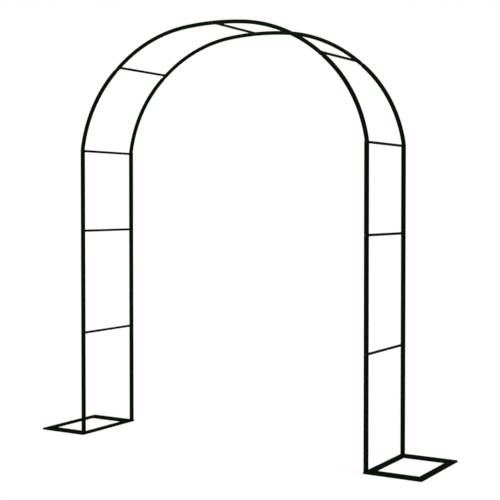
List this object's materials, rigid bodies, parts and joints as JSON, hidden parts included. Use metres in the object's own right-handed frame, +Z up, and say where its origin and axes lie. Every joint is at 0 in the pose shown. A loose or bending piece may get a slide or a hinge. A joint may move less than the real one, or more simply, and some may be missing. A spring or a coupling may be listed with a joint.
{
  "type": "metal trellis arch",
  "caption": "Free-standing garden arch: two parallel steel-tube hoops joined by thin rungs, standing on flat rectangular foot frames.",
  "frame": {"origin": "on the ground, in the middle of the walk-through and halfway between the two hoops", "axes": "+X to the right across the walk-through, +Y from the front hoop to the rear hoop, +Z up"},
  "size_m": [2.492, 0.508, 2.397],
  "materials": {
    "hoop_tube": "dark green powder coat, satin",
    "rung_tube": "dark green powder coat, satin",
    "foot_bar": "dark green powder coat, satin",
    "spigot": "dark green powder coat, satin",
    "saddle": "dark green powder coat, satin",
    "bolt": "dark green coated button-head bolts",
    "insert": "plain zinc-plated steel, hidden in the rung ends"
  },
  "bodies": {
    "root": {"left_front_lower_leg": "hoop_tube", "left_front_middle_leg": "hoop_tube", "left_front_upper_leg": "hoop_tube", "left_front_side_arc": "hoop_tube", "left_front_crown_arc": "hoop_tube", "left_rear_lower_leg": "hoop_tube", "left_rear_middle_leg": "hoop_tube", "left_rear_upper_leg": "hoop_tube", "left_rear_side_arc": "hoop_tube", "left_rear_crown_arc": "hoop_tube", "left_lower_rung": "rung_tube", "left_middle_rung": "rung_tube", "left_springing_rung": "rung_tube", "left_shoulder_rung": "rung_tube", "left_foot_front_bar": "foot_bar", "left_foot_outer_bar": "foot_bar", "left_foot_rear_bar": "foot_bar", "left_foot_inner_bar": "foot_bar", "left_foot_spigots": "spigot", "right_front_lower_leg": "hoop_tube", "right_front_middle_leg": "hoop_tube", "right_front_upper_leg": "hoop_tube", "right_front_side_arc": "hoop_tube", "right_front_crown_arc": "hoop_tube", "right_rear_lower_leg": "hoop_tube", "right_rear_middle_leg": "hoop_tube", "right_rear_upper_leg": "hoop_tube", "right_rear_side_arc": "hoop_tube", "right_rear_crown_arc": "hoop_tube", "right_lower_rung": "rung_tube", "right_middle_rung": "rung_tube", "right_springing_rung": "rung_tube", "right_shoulder_rung": "rung_tube", "right_foot_front_bar": "foot_bar", "right_foot_outer_bar": "foot_bar", "right_foot_rear_bar": "foot_bar", "right_foot_inner_bar": "foot_bar", "right_foot_spigots": "spigot", "crown_rung": "rung_tube", "rung_bolts": "bolt", "rung_saddles": "saddle", "rung_inserts": "insert"}
  },
  "joints": []
}
